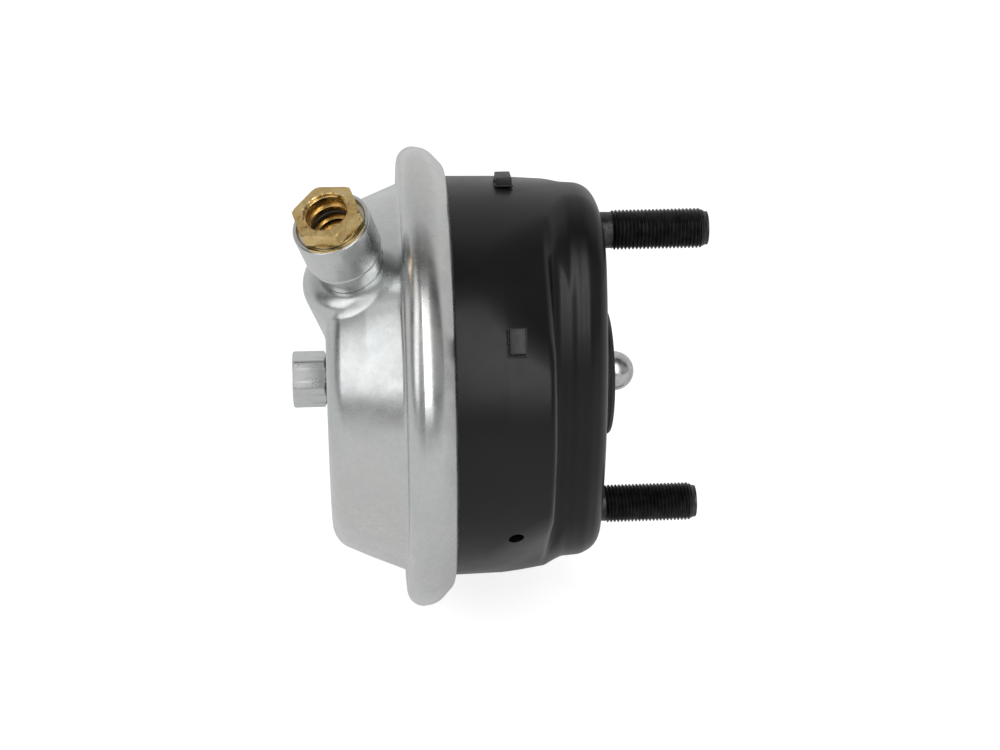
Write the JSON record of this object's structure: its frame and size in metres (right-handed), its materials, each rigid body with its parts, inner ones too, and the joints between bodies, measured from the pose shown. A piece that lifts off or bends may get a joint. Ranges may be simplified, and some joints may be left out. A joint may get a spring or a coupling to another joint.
{
  "type": "air brake chamber",
  "caption": "Diaphragm air brake chamber for a disc brake: pressed cover with angled air port, black waisted housing, two mounting studs and a ball ended pushrod.",
  "frame": {"origin": "centre of the mounting face, on the pushrod's axis", "axes": "+X out of the mounting face along the pushrod, +Z from the mounting face's centre to one stud, the one on the air port's side; the port leans towards -Y"},
  "size_m": [0.1664, 0.184, 0.186],
  "materials": {
    "zinc_plate": "zinc plated pressed steel, satin",
    "zinc_boss": "zinc plated turned steel",
    "brass": "turned brass",
    "black_paint": "satin black paint",
    "black_rubber": "moulded black rubber",
    "diaphragm_rubber": "fabric reinforced rubber",
    "plain_steel": "pressed steel, satin",
    "ball_steel": "turned steel with a dull shine",
    "spring_steel": "coated spring wire",
    "stud_phosphate": "black phosphated steel",
    "plug_plastic": "black moulded plastic"
  },
  "bodies": {
    "chamber": {"pressure_cover": "zinc_plate", "port_boss": "zinc_boss", "port_connector": "brass", "connector_snap_ring": "brass", "connector_o_ring": "black_rubber", "connector_seal_ring": "black_rubber", "centre_plug": "zinc_boss", "non_pressure_housing": "black_paint", "diaphragm": "diaphragm_rubber", "return_spring": "spring_steel", "boot_seat_ring": "plain_steel", "face_seal": "black_rubber", "dust_boot": "black_rubber", "stud_upper": "stud_phosphate", "stud_lower": "stud_phosphate", "drain_plug_1": "plug_plastic", "drain_plug_2": "plug_plastic", "drain_plug_3": "plug_plastic", "drain_plug_4": "plug_plastic", "drain_plug_5": "plug_plastic"},
    "pushrod_assembly": {"push_plate": "plain_steel", "pushrod": "ball_steel"}
  },
  "joints": [
    {"name": "pushrod_stroke", "type": "slide", "parent": "chamber", "child": "pushrod_assembly", "axis": [1, 0, 0], "range_m": [0, 0.057], "stiffness_N_per_m": 1500, "springref_m": -0.06, "deforming": ["return_spring", "diaphragm", "dust_boot"]}
  ]
}
